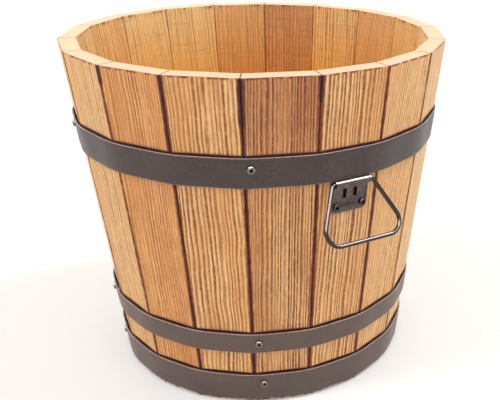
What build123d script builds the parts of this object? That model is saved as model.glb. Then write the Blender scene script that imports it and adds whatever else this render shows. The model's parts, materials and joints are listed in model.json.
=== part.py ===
from build123d import *
import os
from dataclasses import dataclass
from math import atan, cos, degrees, radians, sin, sqrt, tan

# Round wooden tub for planting: a ring of tapered staves held by three steel hoops,
# with a boarded bottom let into a groove and a swinging bail handle on two opposite
# staves. Millimetres, +Z up, origin at the middle of the foot. The front handle
# faces -Y, and turns are counted from -Y towards +X.

# Staves
stave_count = 18
top_across = 450.0  # across opposite stave joints, at the rim
bottom_across = 356.5  # across opposite stave joints, at the foot
tub_height = 396.0
stave_thickness = 20.5
joint_gap = 0.1  # seam between neighbouring staves
outside_round = 2.2  # long outside edges, which make the grooves at the joints
inside_round = 1.2
rim_bevel = 0.9

# Bottom boards and the groove that holds them
board_count = 4
board_thickness = 18.0
board_gap = 0.6
board_bevel = 1.5
foot_height = 20.0  # from the stave ends up to the underside of the boards
groove_depth = 6.0
groove_play = 0.4  # over the boards
disc_play = 0.5  # round the boards
drain_diameter = 16.0
drain_spacing = 120.0  # between the two drain holes of a board

# Hoops. A drop runs from the rim to a hoop's top edge, and an inset from the joint on a
# stave's left to a screw: near ones on the staves next to the handles, far ones beyond.
hoop_top_drop = 81.6
hoop_top_height = 33.0
hoop_top_near_inset = 6.4
hoop_top_far_inset = 22.0
hoop_lower_drop = 298.1
hoop_lower_height = 25.0
hoop_lower_near_inset = 6.4
hoop_lower_far_inset = 20.0
hoop_bottom_drop = 356.2
hoop_bottom_height = 34.8
hoop_bottom_near_inset = 10.5
hoop_bottom_far_inset = 30.0
hoop_thickness = 2.0
hoop_bend_radius = 120.0  # inside of the strip, where it passes over a joint
hoop_play = 0.15  # between the strip and the rounded edges of the staves
lap_length = 38.0
lap_stave = 6  # the lap lies on this stave, counted round from the front one
rivet_spacing = 20.0
rivet_head_diameter = 10.0
rivet_head_height = 2.4
rivet_shank_diameter = 5.0

# Wood screws with pan heads
screw_head_diameter = 8.6
screw_head_height = 2.8
screw_head_rim = 1.3
screw_shank_diameter = 3.4
screw_tip_length = 5.0
screw_tip_diameter = 0.8
wood_behind_screw = 2.0  # between a hoop screw's tip and the depth of the groove
pilot_play = 0.05
screw_drop = 11.6  # of a hoop's screws, from its top edge
slot_length = 4.8
slot_width = 1.3
slot_depth = 1.7

# Handles
plate_width = 43.0
plate_length = 36.0  # from the hinge line to the plate's lower edge
plate_thickness = 1.6
plate_corner_radius = 8.0
plate_edge_round = 0.5
plate_shift = 3.4  # sideways from the middle of the stave
plate_screw_spacing = 32.0
plate_screw_drop = 28.0  # from the hinge line
knuckle_clearance = 0.4  # under the top hoop
knuckle_seam = 0.8
wire_diameter = 4.8
wire_play = 0.08  # between the wire and the knuckle's bore
bail_top_width = 48.8  # between the corners of the wire's middle line
bail_bottom_width = 107.0
bail_length = 62.6
bail_top_radius = 3.5
bail_bottom_radius = 15.0
bail_swing = 28.0  # out from hanging straight down, as the tub stands in use
tab_spacing = 13.0
tab_drop = 13.5  # from the hinge line to the middle of the tabs
tab_length = 10.0
tab_window_width = 3.2
tab_thickness = 1.2
tab_height = 2.4
tab_round = 1.0

# Values that follow from the sizes above
stave_turn = 360 / stave_count
opposite_stave = stave_count // 2
half_turn = radians(stave_turn / 2)
lean = atan((top_across - bottom_across) / 2 * cos(half_turn) / tub_height)
bend_reach = hoop_bend_radius * tan(half_turn) - outside_round * tan((radians(90) + half_turn) / 2)
hoop_gap = hoop_play + hoop_bend_radius - sqrt(hoop_bend_radius**2 - bend_reach**2)
hoop_lift = hoop_gap + hoop_thickness
screw_length = hoop_lift + stave_thickness - groove_depth - wood_behind_screw
pilot_radius = screw_shank_diameter / 2 + pilot_play
bore_radius = wire_diameter / 2 + wire_play
knuckle_radius = bore_radius + plate_thickness


@dataclass
class Hoop:
    """One hoop: its top edge's drop from the rim, its height, and its screws' insets."""

    name: str
    drop: float
    height: float
    near_inset: float
    far_inset: float

    def screw_places(self):
        """Stave, counted round from the front one, and inset of each of four screws."""
        near, far = -1, -5
        return [
            (near, self.near_inset),
            (far, self.far_inset),
            (near + opposite_stave, self.near_inset),
            (far + opposite_stave, self.far_inset),
        ]


hoops = [
    Hoop("hoop_top", hoop_top_drop, hoop_top_height, hoop_top_near_inset, hoop_top_far_inset),
    Hoop("hoop_lower", hoop_lower_drop, hoop_lower_height, hoop_lower_near_inset, hoop_lower_far_inset),
    Hoop(
        "hoop_bottom",
        hoop_bottom_drop,
        hoop_bottom_height,
        hoop_bottom_near_inset,
        hoop_bottom_far_inset,
    ),
]
hinge_height = tub_height - hoop_top_drop - hoop_top_height - knuckle_clearance - knuckle_radius


def corner_radius(height):
    """Distance from the tub's axis to a joint on the outside of the staves."""
    return (bottom_across + (top_across - bottom_across) * height / tub_height) / 2


def apothem(height):
    """Distance from the tub's axis to the middle of a stave's outside."""
    return corner_radius(height) * cos(half_turn)


def inner_apothem(height):
    """Distance from the tub's axis to the middle of a stave's inside."""
    return apothem(height) - stave_thickness / cos(lean)


def wall_plane(number, height, along=0.0):
    """Plane on the outside of a stave: x along its width, y up it, z out of it."""
    front = Plane(
        origin=(along, -apothem(height), height),
        x_dir=(1, 0, 0),
        z_dir=(0, -cos(lean), -sin(lean)),
    )
    return Plane(Location((0, 0, 0), (0, 0, number * stave_turn)) * front.location)


def shifted(plane, x, y):
    """Copy of a plane, moved within itself."""
    return Plane(plane.location * Location((x, y, 0)))


def hoop_screw_planes(hoop, lift):
    """Stave number and plane of each of a hoop's screws, lifted off the stave's face."""
    height = tub_height - hoop.drop - screw_drop
    left_joint = -corner_radius(height) * sin(half_turn)
    return [
        (number % stave_count, wall_plane(number, height, left_joint + inset).offset(lift))
        for number, inset in hoop.screw_places()
    ]


def handle_plane(number):
    """Plane on the stave behind a handle, with its origin level with the hinge line."""
    return wall_plane(number, hinge_height, plate_shift)


def plate_screw_planes(number, lift):
    """Planes of a plate's two screws, lifted off the stave's face."""
    base = handle_plane(number).offset(lift)
    return [shifted(base, side * plate_screw_spacing / 2, -plate_screw_drop) for side in (-1, 1)]


def save(piece, name):
    """Label a finished piece and write its file."""
    piece.part.label = name
    export_step(piece.part, f"parts/{name}.step")


os.makedirs("parts", exist_ok=True)

# Staves: one tapered board with radial sides, then a copy at each place round the tub


def stave_outline(height):
    """Corners of the front stave's section."""
    outside = apothem(height)
    inside = inner_apothem(height)
    seam = joint_gap / 2 / cos(half_turn)
    outside_half = outside * tan(half_turn) - seam
    inside_half = inside * tan(half_turn) - seam
    return [
        (-outside_half, -outside),
        (outside_half, -outside),
        (inside_half, -inside),
        (-inside_half, -inside),
    ]


groove_radius = inner_apothem(foot_height) + groove_depth

with BuildPart() as stave:
    for level in (0, tub_height):
        with BuildSketch(Plane.XY.offset(level)):
            Polygon(*stave_outline(level), align=None)
    loft(ruled=True)
    long_edges = stave.edges().filter_by(lambda edge: edge.length > tub_height * 0.9).sort_by(Axis.Y)
    fillet(long_edges[:2], outside_round)
    fillet(long_edges[2:], inside_round)
    chamfer(stave.faces().sort_by(Axis.Z)[-1].edges(), rim_bevel)
    with BuildSketch(Plane.XY.offset(foot_height)):
        Circle(groove_radius)
    extrude(amount=board_thickness + groove_play, mode=Mode.SUBTRACT)

pilot_holes = {number: [] for number in range(stave_count)}
for hoop in hoops:
    for number, plane in hoop_screw_planes(hoop, 0):
        pilot_holes[number].append(plane)
for number in (0, opposite_stave):
    pilot_holes[number] += plate_screw_planes(number, 0)

for number, planes in pilot_holes.items():
    with BuildPart() as placed_stave:
        add(stave.part, rotation=(0, 0, number * stave_turn))
        if planes:
            with Locations(*planes):
                Hole(pilot_radius, depth=screw_length - plate_thickness)
    save(placed_stave, f"stave_{number + 1:02d}")

# Bottom boards: a disc sawn into strips, the two middle ones with drain holes

disc_radius = groove_radius - disc_play
board_pitch = 2 * disc_radius / board_count

for number in range(board_count):
    middle = (number - (board_count - 1) / 2) * board_pitch
    with BuildPart() as board:
        with BuildSketch(Plane.XY.offset(foot_height)):
            Circle(disc_radius)
            with Locations((0, middle)):
                Rectangle(2 * disc_radius, board_pitch - board_gap, mode=Mode.INTERSECT)
        extrude(amount=board_thickness)
        chamfer(board.faces().sort_by(Axis.Z)[-1].edges().filter_by(Axis.X), board_bevel)
        if abs(middle) < board_pitch:
            with Locations((0, middle, foot_height + board_thickness)):
                with GridLocations(drain_spacing, 0, 2, 1):
                    Hole(drain_diameter / 2, depth=board_thickness)
    save(board, f"bottom_board_{number + 1}")

# Hoops: strip bent round the staves, its end lapped over its start and riveted


def band_outline(height, outset):
    """Section of the staves' outside, moved out and rounded where it passes a joint."""
    with BuildSketch(Plane.XY.offset(height)) as outline:
        RegularPolygon(
            corner_radius(height) + outset / cos(lean) / cos(half_turn),
            stave_count,
            rotation=stave_turn / 2 - 90,
        )
        fillet(outline.vertices(), hoop_bend_radius + outset - hoop_gap)
    return outline.sketch.face()


def rivet_planes(hoop):
    """Planes of the two rivets on the outside of a hoop's lap."""
    middle = tub_height - hoop.drop - hoop.height / 2
    lap = wall_plane(lap_stave, middle).offset(hoop_lift + hoop_thickness)
    return [shifted(lap, side * rivet_spacing / 2, 0) for side in (-1, 1)]


for hoop in hoops:
    top_level = tub_height - hoop.drop
    levels = (top_level - hoop.height, top_level)
    with BuildPart() as band:
        loft([band_outline(level, hoop_lift) for level in levels], ruled=True)
        loft([band_outline(level, hoop_gap) for level in levels], ruled=True, mode=Mode.SUBTRACT)
        with BuildSketch(wall_plane(lap_stave, sum(levels) / 2).offset(hoop_lift)):
            Rectangle(lap_length, hoop.height / cos(lean))
        extrude(amount=hoop_thickness)
        with Locations(*rivet_planes(hoop)):
            Hole(rivet_shank_diameter / 2, depth=2 * hoop_thickness)
        with Locations(*[plane for number, plane in hoop_screw_planes(hoop, hoop_lift)]):
            Hole(pilot_radius, depth=hoop_lift)
    save(band, hoop.name)

# Rivets: a low dome outside, the shank flush with the inside of the hoop

with BuildPart() as rivet:
    with BuildSketch(Plane.XZ):
        with BuildLine():
            Polyline(
                (0, rivet_head_height),
                (0, -2 * hoop_thickness),
                (rivet_shank_diameter / 2, -2 * hoop_thickness),
                (rivet_shank_diameter / 2, 0),
                (rivet_head_diameter / 2, 0),
            )
            TangentArc((0, rivet_head_height), (rivet_head_diameter / 2, 0), tangent=(1, 0))
        make_face()
    revolve(axis=Axis.Z)

with BuildPart() as hoop_rivets:
    for hoop in hoops:
        with Locations(*rivet_planes(hoop)):
            add(rivet.part)
save(hoop_rivets, "hoop_rivets")

# Screws: domed pan head with a cross slot, its seat at the local origin

with BuildPart() as screw:
    with BuildSketch(Plane.XZ):
        with BuildLine():
            Polyline(
                (0, screw_head_height),
                (0, -screw_length),
                (screw_tip_diameter / 2, -screw_length),
                (screw_shank_diameter / 2, screw_tip_length - screw_length),
                (screw_shank_diameter / 2, 0),
                (screw_head_diameter / 2, 0),
                (screw_head_diameter / 2, screw_head_rim),
            )
            TangentArc((0, screw_head_height), (screw_head_diameter / 2, screw_head_rim), tangent=(1, 0))
        make_face()
    revolve(axis=Axis.Z)
    with BuildSketch(Plane.XY.offset(screw_head_height)):
        Rectangle(slot_length, slot_width)
        Rectangle(slot_width, slot_length)
    extrude(amount=-slot_depth, mode=Mode.SUBTRACT)


def place_screws(planes):
    """Group of screws, one seated on each plane."""
    with BuildPart() as group:
        with Locations(*planes):
            add(screw.part)
    return group


for hoop in hoops:
    places = [plane for number, plane in hoop_screw_planes(hoop, hoop_lift)]
    save(place_screws(places), f"{hoop.name}_screws")

# Handles: a plate whose top is rolled round the bail, and the closed wire bail

with BuildPart() as tab:
    with Locations((0, 0, plate_thickness)):
        Box(tab_thickness, tab_length, tab_height, align=(Align.MIN, Align.CENTER, Align.MIN))
    fillet(tab.edges().filter_by(Axis.X).group_by(Axis.Z)[-1], tab_round)


def make_plate(number):
    """Plate on a stave: sheet, knuckle with its bore and seam, tabs and screw holes."""
    base = handle_plane(number)
    tab_places = [shifted(base, side * tab_spacing / 2, -tab_drop) for side in (-1, 1)]
    with BuildPart() as plate:
        with BuildSketch(base) as sheet:
            Rectangle(plate_width, plate_length, align=(Align.CENTER, Align.MAX))
            fillet(sheet.vertices().group_by(Axis.Y)[0], plate_corner_radius)
        extrude(amount=plate_thickness)
        front_face = plate.faces().sort_by(Axis(base.origin, base.z_dir))[-1]
        fillet(front_face.edges().sort_by(Axis(base.origin, base.y_dir))[:-1], plate_edge_round)
        with Locations(base.location * Location((0, 0, knuckle_radius), (0, 90, 0))):
            Cylinder(knuckle_radius, plate_width)
            Cylinder(bore_radius, plate_width, mode=Mode.SUBTRACT)
        with BuildSketch(base.offset(plate_thickness)):
            Rectangle(plate_width, 2 * knuckle_radius, align=(Align.CENTER, Align.MAX))
        extrude(amount=knuckle_seam, mode=Mode.SUBTRACT)
        with BuildSketch(*tab_places):
            Rectangle(tab_window_width, tab_length, align=(Align.MAX, Align.CENTER))
        extrude(amount=plate_thickness, mode=Mode.SUBTRACT)
        with Locations(*tab_places):
            add(tab.part)
        with Locations(*plate_screw_planes(number, plate_thickness)):
            Hole(pilot_radius, depth=plate_thickness)
    return plate


def make_bail(number):
    """Closed wire loop, wider at its foot, with its top run in the knuckle."""
    hinge = handle_plane(number).offset(knuckle_radius).location
    swung = Plane(hinge * Location((0, 0, 0), (-bail_swing - degrees(lean), 0, 0)))
    with BuildPart() as bail:
        with BuildLine(swung) as route:
            FilletPolyline(
                (-bail_top_width / 2, 0),
                (bail_top_width / 2, 0),
                (bail_bottom_width / 2, -bail_length),
                (-bail_bottom_width / 2, -bail_length),
                radius=[bail_top_radius, bail_top_radius, bail_bottom_radius, bail_bottom_radius],
                close=True,
            )
        path = route.wire()
        with BuildSketch(Plane(origin=path @ 0, z_dir=path % 0)):
            Circle(wire_diameter / 2)
        sweep(path=path)
    return bail


for side, number in (("front", 0), ("back", opposite_stave)):
    save(make_plate(number), f"handle_plate_{side}")
    save(make_bail(number), f"handle_bail_{side}")
    save(place_screws(plate_screw_planes(number, plate_thickness)), f"handle_screws_{side}")
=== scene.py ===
# Round staved planting tub, dressed for a studio picture. Lengths are millimetres until a
# mesh is written, which is in metres. +Z is up, the front handle faces -Y, and turns round
# the tub are counted from -Y towards +X.

import json
import logging
from dataclasses import dataclass, field
from enum import Enum, IntEnum

import bpy
import numpy as np
from mathutils import Matrix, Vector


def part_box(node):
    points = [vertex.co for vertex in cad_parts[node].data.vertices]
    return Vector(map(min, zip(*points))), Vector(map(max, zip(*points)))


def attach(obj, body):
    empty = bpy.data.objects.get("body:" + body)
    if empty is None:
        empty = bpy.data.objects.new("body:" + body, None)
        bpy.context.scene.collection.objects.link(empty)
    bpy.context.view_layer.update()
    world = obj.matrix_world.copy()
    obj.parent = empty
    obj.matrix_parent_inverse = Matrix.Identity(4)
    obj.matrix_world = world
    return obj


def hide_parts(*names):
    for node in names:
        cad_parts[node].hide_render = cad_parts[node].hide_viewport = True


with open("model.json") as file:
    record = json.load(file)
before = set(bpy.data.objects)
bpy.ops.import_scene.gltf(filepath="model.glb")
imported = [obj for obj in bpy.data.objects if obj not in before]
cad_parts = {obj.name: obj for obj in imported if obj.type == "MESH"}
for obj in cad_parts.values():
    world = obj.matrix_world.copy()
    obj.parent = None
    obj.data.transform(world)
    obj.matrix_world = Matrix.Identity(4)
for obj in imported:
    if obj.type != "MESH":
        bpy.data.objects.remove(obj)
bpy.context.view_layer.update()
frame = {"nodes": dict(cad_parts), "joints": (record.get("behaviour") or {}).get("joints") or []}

logging.basicConfig(level=logging.INFO, format="%(message)s")
log = logging.getLogger("tub")

Array = np.ndarray
Socket = bpy.types.NodeSocket

METRES = 0.001
HOOP_GAP = 1.59  # from a stave's face to the flat of a hoop
HOOP_THICKNESS = 2.0
PLATE_SHIFT = 3.4  # of a handle, sideways from the middle of its stave
BOARD_RUN = 400.0  # length of a board, over which its heart drifts
RIM_SHADE_LEVELS = 290.0, 350.0  # where the shade towards the rim sets in, and is full
INSIDE_SHADE_LEVELS = 385.0, 315.0  # where the inside's painted shade sets in below the rim, and where it is full


# Numbers and fields


def linear(code: str) -> tuple[float, ...]:
    """Turn an sRGB hex colour, "#rrggbb", into linear RGBA."""
    shares = [int(code[i:i + 2], 16) / 255 for i in (1, 3, 5)]
    return (*[s / 12.92 if s <= 0.04045 else ((s + 0.055) / 1.055) ** 2.4 for s in shares], 1.0)


def smooth_step(value: Array, low: float, high: float) -> Array:
    """Rise from 0 at low to 1 at high by 3t squared minus 2t cubed."""
    t = np.clip((value - low) / (high - low), 0.0, 1.0)
    return t * t * (3 - 2 * t)


def value_noise(u: Array, v: Array, seed: int) -> Array:
    """Smooth noise: random values on a unit lattice, blended by smooth steps.

    Args:
        u: first coordinate, in lattice steps.
        v: second coordinate, in lattice steps.
        seed: start of the random draws.

    Returns:
        Values from -1 to 1.
    """
    size = 64
    lattice = np.random.default_rng(seed).uniform(-1, 1, (size, size))
    u, v = np.broadcast_arrays(u, v)
    column, row = np.floor(u).astype(int), np.floor(v).astype(int)
    s, t = smooth_step(u - column, 0, 1), smooth_step(v - row, 0, 1)
    low, high = (lattice[column % size, r % size] * (1 - s) + lattice[(column + 1) % size, r % size] * s
                 for r in (row, row + 1))
    return low * (1 - t) + high * t


class Seed(IntEnum):
    """Starts of the random draws. Most have the stave's number added."""

    TWIST = 5
    EDGE = 40
    RINGS = 60
    JOINT = 300
    RIM = 500
    FOOT = 520
    HOLLOW = 700
    RAGGED = 800
    SPLINTER = 830
    SUNK = 860
    CHIP = 900


def spin(turn: float) -> Array:
    """Matrix that turns points round the tub's axis."""
    c, s = np.cos(turn), np.sin(turn)
    return np.array([[c, -s, 0.0], [s, c, 0.0], [0.0, 0.0, 1.0]])


def turned(x: Array, out: Array, z: Array, turn: Array) -> Array:
    """Points of a piece that stands at a turn round the tub.

    Args:
        x: sideways, seen from outside.
        out: distance from the axis.
        z: level.
        turn: radians round the axis from -Y towards +X.

    Returns:
        Points, with their three coordinates last.
    """
    c, s = np.cos(turn), np.sin(turn)
    return np.stack(np.broadcast_arrays(x * c + out * s, x * s - out * c, z), -1)


def node_points(name: str) -> Array:
    """Corners of a CAD node's mesh at rest, in millimetres."""
    vertices = frame["nodes"][name].data.vertices
    flat = np.empty(len(vertices) * 3, np.float32)
    vertices.foreach_get("co", flat)
    return flat.reshape(-1, 3).astype(float) / METRES


def heights(name: str) -> tuple[float, float]:
    """Lowest and highest level of a CAD node, in millimetres."""
    low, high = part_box(name)
    return low.z / METRES, high.z / METRES


# Meshes


@dataclass
class Shell:
    """Points, faces and per-point values of a piece, gathered from closed surfaces."""

    points: list[Array] = field(default_factory=list)
    quads: list[Array] = field(default_factory=list)
    triangles: list[Array] = field(default_factory=list)
    values: dict[str, list[Array]] = field(default_factory=dict)
    count: int = 0

    def add(self, grid: Array, looped: bool = False, clockwise: bool = False,
            pole_value: float | None = None, **values: Array) -> None:
        """Add a closed surface of rings, whose points run counter-clockwise as the rows lead.

        Args:
            grid: points by row and column, one ring a row.
            looped: whether the last ring meets the first. If not, a pole closes either end.
            clockwise: whether the rings run the other way round.
            pole_value: value at the poles, or None for the mean of the ring beside.
            values: numbers or vectors by name, by row and column.
        """
        rows, columns = grid.shape[:2]
        row, here = np.meshgrid(np.arange(rows if looped else rows - 1), np.arange(columns), indexing="ij")
        next_row, along = (row + 1) % rows, (here + 1) % columns
        quads = [row * columns + here, row * columns + along,
                 next_row * columns + along, next_row * columns + here]
        quads = np.stack(quads, -1).reshape(-1, 4)
        triangles = np.empty((0, 3), int)
        if not looped:
            here, along, last = here[0], along[0], (rows - 1) * columns
            pole = np.full(columns, rows * columns)
            triangles = np.vstack([np.stack([along, here, pole], -1),
                                   np.stack([last + here, last + along, pole + 1], -1)])
        if clockwise:
            quads, triangles = quads[:, ::-1], triangles[:, [1, 0, 2]]

        def listed(part: Array, pole: float | None) -> Array:
            """One row a point, and the poles last."""
            flat = part.reshape(rows * columns, *part.shape[2:])
            if looped:
                return flat
            poles = part[[0, -1]].mean(1) if pole is None else np.full((2, *part.shape[2:]), pole)
            return np.concatenate([flat, poles])

        self.points.append(listed(grid, None))
        self.quads.append(quads + self.count)
        self.triangles.append(triangles + self.count)
        for name, value in values.items():
            self.values.setdefault(name, []).append(listed(value, pole_value))
        self.count += len(self.points[-1])

    def build(self, name: str, crease: float = 40.0) -> bpy.types.Object:
        """Write the mesh and its object.

        Args:
            name: the object's name.
            crease: edges that turn by more degrees than this stay sharp.

        Returns:
            The new object, at the origin.
        """
        points = np.concatenate(self.points)
        quads, triangles = np.concatenate(self.quads), np.concatenate(self.triangles)
        corners = np.concatenate([quads.ravel(), triangles.ravel()]).astype(np.int32)
        sizes = np.concatenate([np.full(len(quads), 4), np.full(len(triangles), 3)])
        mesh = bpy.data.meshes.new(name)
        mesh.vertices.add(len(points))
        mesh.vertices.foreach_set("co", (points * METRES).astype(np.float32).ravel())
        mesh.loops.add(len(corners))
        mesh.loops.foreach_set("vertex_index", corners)
        mesh.polygons.add(len(sizes))
        mesh.polygons.foreach_set("loop_start", (np.cumsum(sizes) - sizes).astype(np.int32))
        for key, parts in self.values.items():
            data = np.concatenate(parts).astype(np.float32)
            kind, column = ("FLOAT", "value") if data.ndim == 1 else ("FLOAT_VECTOR", "vector")
            mesh.attributes.new(key, kind, "POINT").data.foreach_set(column, data.ravel())
        mesh.update(calc_edges=True)
        mesh.shade_smooth()
        mesh.set_sharp_from_angle(angle=np.radians(crease))
        piece = bpy.data.objects.new(name, mesh)
        bpy.context.scene.collection.objects.link(piece)
        return piece


# Materials

MIX_FACTOR, MIX_A, MIX_B, MIX_COLOUR = 0, 6, 7, 2


def add_node(tree: bpy.types.NodeTree, kind: str, out: str | int, inputs: dict, **settings) -> Socket:
    """Add a node, set its properties, and set or link its inputs.

    Args:
        tree: the material's node tree.
        kind: the node's type.
        out: name or number of the output to return.
        inputs: by name or number, a socket to link or a value to set.
        settings: the node's own properties.

    Returns:
        The chosen output.
    """
    node = tree.nodes.new(kind)
    for name, value in settings.items():
        setattr(node, name, value)
    for key, value in inputs.items():
        if isinstance(value, Socket):
            tree.links.new(value, node.inputs[key])
        else:
            node.inputs[key].default_value = value
    return node.outputs[out] if node.outputs else None


@dataclass
class Graph:
    """Node tree, with a short call for each kind of node that recurs."""

    tree: bpy.types.NodeTree

    @classmethod
    def of_material(cls, name: str) -> tuple["Graph", bpy.types.Material]:
        """Graph of a new, empty material, and the material."""
        made = bpy.data.materials.new(name)
        made.use_nodes = True
        made.node_tree.nodes.clear()
        return cls(made.node_tree), made

    def coordinates(self, kind: str = "Object") -> Socket:
        """Place on the piece, or the direction of a ray for the sky."""
        return add_node(self.tree, "ShaderNodeTexCoord", kind, {})

    def attribute(self, name: str, out: str = "Fac") -> Socket:
        """Value that the piece carries."""
        return add_node(self.tree, "ShaderNodeAttribute", out, {}, attribute_name=name)

    def math(self, operation: str, *values: Socket | float) -> Socket:
        """Result of an operation on numbers."""
        return add_node(self.tree, "ShaderNodeMath", 0, dict(enumerate(values)), operation=operation)

    def scaled(self, place: Socket, factors: tuple[float, ...]) -> Socket:
        """Place with each coordinate multiplied by its factor."""
        return add_node(self.tree, "ShaderNodeVectorMath", 0, {0: place, 1: factors}, operation="MULTIPLY")

    def noise(self, place: Socket, scale: float = 1.0, detail: float = 2.0, roughness: float = 0.5) -> Socket:
        """Cloudy noise, mostly from 0.3 to 0.7."""
        return add_node(self.tree, "ShaderNodeTexNoise", "Fac", {
            "Vector": place, "Scale": scale, "Detail": detail, "Roughness": roughness})

    def spread(self, value: Socket, low: float = 0.0, high: float = 1.0, start: float = 0.0,
               end: float = 1.0, smooth: bool = False) -> Socket:
        """Value mapped from low and high to start and end, and held there beyond them."""
        return add_node(self.tree, "ShaderNodeMapRange", 0, {0: value, 1: low, 2: high, 3: start, 4: end},
                        interpolation_type="SMOOTHSTEP" if smooth else "LINEAR")

    def patches(self, place: Socket, factors: tuple[float, ...], low: float, high: float, most: float,
                detail: float = 3.0, roughness: float = 0.5) -> Socket:
        """Patches where stretched noise is over a low mark, up to the most at a high one."""
        noise = self.noise(self.scaled(place, factors), 1.0, detail, roughness)
        return self.spread(noise, low, high, 0.0, most)

    def blend(self, share: Socket | float, one: Socket | str, other: Socket | str,
              mode: str = "MIX") -> Socket:
        """Colour between one and the other, each a socket or a hex code."""
        one, other = (linear(colour) if isinstance(colour, str) else colour for colour in (one, other))
        return add_node(self.tree, "ShaderNodeMix", MIX_COLOUR, {
            MIX_FACTOR: share, MIX_A: one, MIX_B: other}, data_type="RGBA", blend_type=mode)

    def bump(self, height: Socket, strength: float, distance: float) -> Socket:
        """Normal over a relief whose full height is a distance in metres."""
        return add_node(self.tree, "ShaderNodeBump", 0, {
            "Height": height, "Strength": strength, "Distance": distance})

    def surface(self, inputs: dict) -> None:
        """End the graph in a surface with these inputs."""
        shader = add_node(self.tree, "ShaderNodeBsdfPrincipled", 0, inputs)
        add_node(self.tree, "ShaderNodeOutputMaterial", 0, {"Surface": shader})


@dataclass(frozen=True)
class Softwood:
    """Larch or spruce board, planed and oiled.

    Pale early wood darkens through each year's growth to a brown line of late wood, and
    the long fibres show as fine streaks. Oil brings out a honey colour and a low sheen.
    """

    name: str
    early: str
    late: str
    tone: str
    contrast: float = 0.9
    streaks: float = 0.4
    flecks: float = 0.25
    late_starts: float = 0.25
    rim_shade: float = 0.0  # how far the board darkens towards the rim
    fleck: str = "#f9d19c"
    oil: str = "#ffdc98"
    warmth: float = 0.3  # how far the inside takes the oil's colour
    # multiplied onto the inside, more deeply further down, as painted shade
    inside_shade: str = "#f9e8b8"
    end_grain: str = "#bfa07c"
    weathered: str = "#ffffff"  # what daylight has taken from the outside
    # Red-brown of stain, also of thin painted shade; the next, near black, is of thick stain and painted
    # shade.
    stain_and_shade: str = "#7c3614"
    deep_stain_and_shade: str = "#330e0a"

    def material(self, attributes: bool = True) -> bpy.types.Material:
        """Build the wood from a piece's own attributes, or from Object coordinates.

        Args:
            attributes: whether the piece carries board, ring, stain and painted shade, end and inner values.

        Returns:
            The material.
        """
        graph, made = Graph.of_material(self.name)
        if attributes:
            board = graph.attribute("board", "Vector")
            ring, stain_and_shade, end, inner = (graph.attribute(key) for key in ("ring", "stain_and_shade", "end", "inner"))
        else:
            board, ring = self.board_on_object(graph)
            stain_and_shade = end = inner = 0.0
        colour, late, fibre = self.grain(graph, board, ring)
        colour = self.age(graph, board, inner, colour)
        # End grain takes no oil stain, so it is pale, with faint arcs of late wood.
        sawn = graph.blend(graph.spread(late, end=0.28), self.end_grain, self.late)
        colour = self.soil_and_shade(graph, board, stain_and_shade, graph.blend(end, colour, sawn))
        # Late wood stands proud by a tenth of a millimetre and is a little smoother.
        relief = graph.math("MULTIPLY_ADD", fibre, 0.6, late)
        graph.surface({
            "Base Color": colour, "Roughness": graph.spread(late, start=0.66, end=0.5),
            "IOR": 1.48, "Normal": graph.bump(relief, 0.5, 0.0001)})
        return made

    def board_on_object(self, graph: Graph) -> tuple[Socket, Socket]:
        """Board place and ring number on a CAD node, whose fibres run along X.

        The ring number is the distance from a heart line under the board, over the ring
        width.

        Args:
            graph: the material's graph.

        Returns:
            Sockets of the place in millimetres and of the ring number.
        """
        heart_side, heart_level, ring_width = 12.0, -46.0, 2.6
        fibre_share = 0.03  # of the fibre's run, so that the arcs open a little along it
        x = add_node(graph.tree, "ShaderNodeSeparateXYZ", 0, {0: graph.coordinates()})
        y, z = x.node.outputs[1], x.node.outputs[2]
        place = add_node(graph.tree, "ShaderNodeCombineXYZ", 0, {0: y, 1: z, 2: x})
        board = graph.scaled(place, (1 / METRES,) * 3)
        away = add_node(graph.tree, "ShaderNodeVectorMath", 0, {
            0: board, 1: (heart_side, heart_level, 0.0)}, operation="SUBTRACT")
        across = graph.scaled(away, (1.0, 1.0, fibre_share))
        reach = add_node(graph.tree, "ShaderNodeVectorMath", "Value", {0: across}, operation="LENGTH")
        return board, graph.math("DIVIDE", reach, ring_width)

    def grain(self, graph: Graph, board: Socket, ring: Socket) -> tuple[Socket, Socket, Socket]:
        """Yearly rings, fibres and flecks.

        Args:
            graph: the material's graph.
            board: place on the board in millimetres: across, outwards and along the fibre.
            ring: number of the yearly ring.

        Returns:
            Colour, share of late wood, and fibre noise.
        """
        # Rings wander a little along the fibre: a third of a ring over some 50 mm.
        wander = graph.noise(graph.scaled(board, (0.25, 0.25, 0.02)))
        ring = graph.math("MULTIPLY_ADD", wander, 0.5, ring)
        year = graph.math("FRACT", ring)
        rise = graph.spread(year, self.late_starts, 0.7, smooth=True)
        fall = graph.spread(year, 0.9, 1.0, 1.0, 0.0, smooth=True)

        # Some years grow a strong line of late wood, some a weak one, and strength drifts.
        luck = add_node(graph.tree, "ShaderNodeTexWhiteNoise", "Value", {
            "W": graph.math("FLOOR", ring)}, noise_dimensions="1D")
        drift = graph.noise(graph.scaled(board, (0.06, 0.06, 0.006)), detail=1.0)
        late = graph.math("MULTIPLY", rise, fall)
        late = graph.math("MULTIPLY", late, graph.spread(luck, start=0.55, end=1.1))
        late = graph.math("MULTIPLY", late, graph.spread(drift, 0.34, 0.52, 0.5, 1.0))
        colour = graph.blend(graph.math("MULTIPLY", late, self.contrast), self.early, self.late)

        # Fibre streaks about two millimetres wide and 30 mm long.
        fibre = graph.noise(graph.scaled(board, (0.5, 0.5, 0.035)), detail=4.0, roughness=0.7)
        colour = graph.blend(graph.spread(fibre, 0.47, 0.6, 0.0, self.streaks), colour, self.late)

        # Pale flecks of open grain, which break the lines of late wood into dashes.
        fleck = graph.patches(board, (0.6, 0.6, 0.13), 0.5, 0.62, 0.4, roughness=0.75)
        return graph.blend(fleck, colour, self.fleck), late, fibre

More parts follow.
